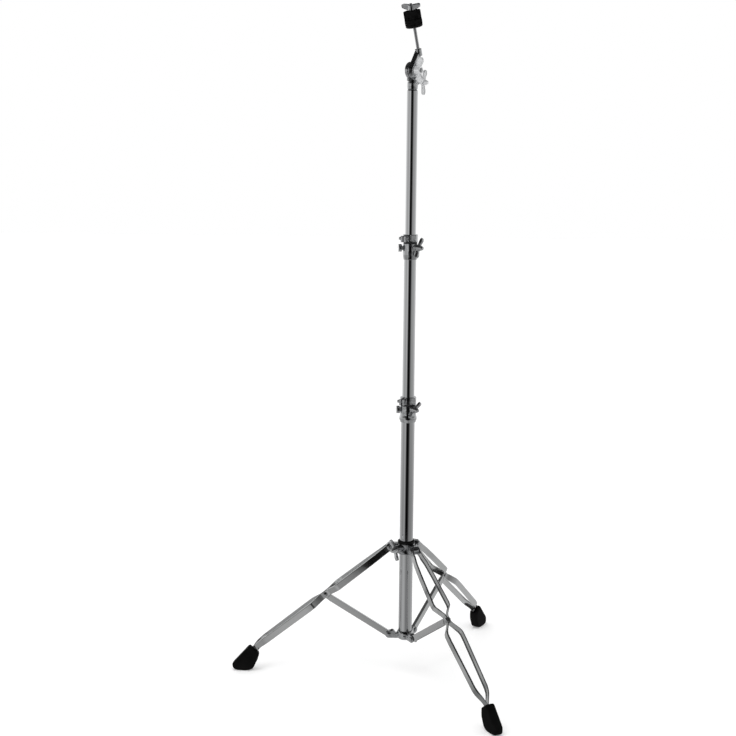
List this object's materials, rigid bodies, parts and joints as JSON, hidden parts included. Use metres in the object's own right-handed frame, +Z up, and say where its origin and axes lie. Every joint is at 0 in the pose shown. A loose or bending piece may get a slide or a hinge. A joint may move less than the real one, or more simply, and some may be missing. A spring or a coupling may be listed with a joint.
{
  "type": "straight cymbal stand",
  "caption": "Folding cymbal stand with tripod legs, telescoping tubes clamped by wing bolts, a toothed tilter and a felted rod.",
  "frame": {"origin": "on the floor, below the centre of the bounding box", "axes": "+Z up along the tubes, -X towards the single leg on the left, +Y towards the back leg"},
  "size_m": [0.5666, 0.6514, 1.4102],
  "materials": {
    "chrome_plate": "bright polished chrome plate",
    "satin_steel": "plated pressed steel, less bright than the tubes",
    "black_rubber": "matt black moulded rubber",
    "black_nylon": "matt black moulded nylon",
    "black_felt": "pressed black wool felt"
  },
  "bodies": {
    "base": {"base_tube": "chrome_plate", "lower_bracket": "chrome_plate", "left_bracket_rivet": "chrome_plate", "front_bracket_rivet": "chrome_plate", "back_bracket_rivet": "chrome_plate", "lower_clamp": "chrome_plate", "lower_clamp_bush": "black_nylon", "lower_clamp_shoe": "satin_steel"},
    "left_brace": {"left_brace": "satin_steel"},
    "left_leg": {"left_leg_strip_a": "satin_steel", "left_leg_strip_b": "satin_steel", "left_foot": "black_rubber", "left_knee_rivet": "chrome_plate", "left_collar_rivet": "chrome_plate"},
    "front_brace": {"front_brace": "satin_steel"},
    "front_leg": {"front_leg_strip_a": "satin_steel", "front_leg_strip_b": "satin_steel", "front_foot": "black_rubber", "front_knee_rivet": "chrome_plate", "front_collar_rivet": "chrome_plate"},
    "back_brace": {"back_brace": "satin_steel"},
    "back_leg": {"back_leg_strip_a": "satin_steel", "back_leg_strip_b": "satin_steel", "back_foot": "black_rubber", "back_knee_rivet": "chrome_plate", "back_collar_rivet": "chrome_plate"},
    "collar": {"leg_collar": "chrome_plate", "collar_ring": "black_nylon", "collar_wing_shoe": "satin_steel"},
    "collar_bolt": {"collar_wing_bolt": "chrome_plate"},
    "middle": {"middle_tube": "chrome_plate", "upper_clamp": "chrome_plate", "upper_clamp_bush": "black_nylon", "upper_clamp_shoe": "satin_steel"},
    "lower_bolt": {"lower_clamp_bolt": "chrome_plate"},
    "lower_lock": {"lower_memory_lock": "chrome_plate"},
    "lower_lock_key": {"lower_lock_screw": "satin_steel"},
    "upper": {"upper_tube": "chrome_plate"},
    "upper_bolt": {"upper_clamp_bolt": "chrome_plate"},
    "upper_lock": {"upper_memory_lock": "chrome_plate"},
    "upper_lock_key": {"upper_lock_screw": "satin_steel"},
    "tilter": {"tilter_base": "chrome_plate", "tilter_bolt": "satin_steel"},
    "socket_bolt": {"socket_wing_bolt": "chrome_plate"},
    "tilter_nut": {"tilter_wing_nut": "chrome_plate"},
    "arm": {"tilter_arm": "chrome_plate", "cymbal_rod": "satin_steel", "cymbal_seat": "black_nylon", "rod_sleeve": "black_nylon"},
    "lower_felt": {"lower_felt": "black_felt"},
    "upper_felt": {"upper_felt": "black_felt"},
    "top_nut": {"top_wing_nut": "chrome_plate"}
  },
  "joints": [
    {"name": "left_brace_fold", "type": "hinge", "parent": "base", "child": "left_brace", "pos_m": [0.05541, 0, 0.0875], "axis": [0, 1, 0], "range_deg": [0, 51]},
    {"name": "left_leg_fold", "type": "hinge", "parent": "left_brace", "child": "left_leg", "pos_m": [-0.08225, 0, 0.1735], "axis": [0, 1, 0], "range_deg": [-95.7, 0]},
    {"name": "front_brace_fold", "type": "hinge", "parent": "base", "child": "front_brace", "pos_m": [0.10791, -0.03031, 0.0875], "axis": [-0.866, -0.5, 0], "range_deg": [0, 51]},
    {"name": "front_leg_fold", "type": "hinge", "parent": "front_brace", "child": "front_leg", "pos_m": [0.17674, -0.14953, 0.1735], "axis": [-0.866, -0.5, 0], "range_deg": [-95.7, 0]},
    {"name": "back_brace_fold", "type": "hinge", "parent": "base", "child": "back_brace", "pos_m": [0.10791, 0.03031, 0.0875], "axis": [0.866, -0.5, 0], "range_deg": [0, 51]},
    {"name": "back_leg_fold", "type": "hinge", "parent": "back_brace", "child": "back_leg", "pos_m": [0.17674, 0.14953, 0.1735], "axis": [0.866, -0.5, 0], "range_deg": [-95.7, 0]},
    {"name": "collar_fold", "type": "hinge", "parent": "left_leg", "child": "collar", "pos_m": [0.05541, 0, 0.283], "axis": [0, 1, 0], "range_deg": [0, 44.7]},
    {"name": "collar_bolt_spin", "type": "hinge", "parent": "collar", "child": "collar_bolt", "pos_m": [0.09041, 0, 0.2835], "axis": [-0.6428, -0.766, 0], "continuous": true},
    {"name": "middle_slide", "type": "slide", "parent": "base", "child": "middle", "axis": [0, 0, 1], "range_m": [-0.28, 0.06]},
    {"name": "upper_slide", "type": "slide", "parent": "middle", "child": "upper", "axis": [0, 0, 1], "range_m": [-0.28, 0.06]},
    {"name": "lower_lock_slide", "type": "slide", "parent": "base", "child": "lower_lock", "axis": [0, 0, 1], "range_m": [0, 0.2]},
    {"name": "upper_lock_slide", "type": "slide", "parent": "middle", "child": "upper_lock", "axis": [0, 0, 1], "range_m": [0, 0.2]},
    {"name": "lower_bolt_spin", "type": "hinge", "parent": "base", "child": "lower_bolt", "pos_m": [0.09041, 0, 0.584], "axis": [0.6157, -0.788, 0], "continuous": true},
    {"name": "upper_bolt_spin", "type": "hinge", "parent": "middle", "child": "upper_bolt", "pos_m": [0.09041, 0, 0.922], "axis": [0.766, -0.6428, 0], "continuous": true},
    {"name": "lower_lock_key_spin", "type": "hinge", "parent": "lower_lock", "child": "lower_lock_key", "pos_m": [0.07911, -0.01675, 0.6011], "axis": [0.829, -0.5592, 0], "continuous": true},
    {"name": "upper_lock_key_spin", "type": "hinge", "parent": "upper_lock", "child": "upper_lock_key", "pos_m": [0.07797, -0.01592, 0.9411], "axis": [0.788, -0.6157, 0], "continuous": true},
    {"name": "tilter_swivel", "type": "hinge", "parent": "upper", "child": "tilter", "pos_m": [0.09041, 0, 1.25], "axis": [0, 0, 1], "continuous": true},
    {"name": "socket_bolt_spin", "type": "hinge", "parent": "tilter", "child": "socket_bolt", "pos_m": [0.09041, 0, 1.256], "axis": [0.788, 0.6157, 0], "continuous": true},
    {"name": "tilter_nut_spin", "type": "hinge", "parent": "tilter", "child": "tilter_nut", "pos_m": [0.09041, 0, 1.279], "axis": [0.788, -0.6157, 0], "continuous": true},
    {"name": "arm_tilt", "type": "hinge", "parent": "tilter", "child": "arm", "pos_m": [0.09041, 0, 1.279], "axis": [0.788, -0.6157, 0], "range_deg": [-42, 50]},
    {"name": "lower_felt_lift", "type": "slide", "parent": "arm", "child": "lower_felt", "axis": [-0.18, -0.2304, 0.9563], "range_m": [0, 0.06]},
    {"name": "upper_felt_lift", "type": "slide", "parent": "lower_felt", "child": "upper_felt", "axis": [-0.18, -0.2304, 0.9563], "range_m": [0, 0.06]},
    {"name": "top_nut_spin", "type": "hinge", "parent": "upper_felt", "child": "top_nut", "pos_m": [0.08668, -0.01321, 1.39579], "axis": [-0.18, -0.2304, 0.9563], "continuous": true}
  ],
  "couplings": [
    {"joint": "left_leg_fold", "follows": "left_brace_fold", "ratio": -1.874},
    {"joint": "front_brace_fold", "follows": "left_brace_fold", "ratio": 1},
    {"joint": "front_leg_fold", "follows": "left_brace_fold", "ratio": -1.874},
    {"joint": "back_brace_fold", "follows": "left_brace_fold", "ratio": 1},
    {"joint": "back_leg_fold", "follows": "left_brace_fold", "ratio": -1.874},
    {"joint": "collar_fold", "follows": "left_brace_fold", "ratio": 0.874}
  ]
}
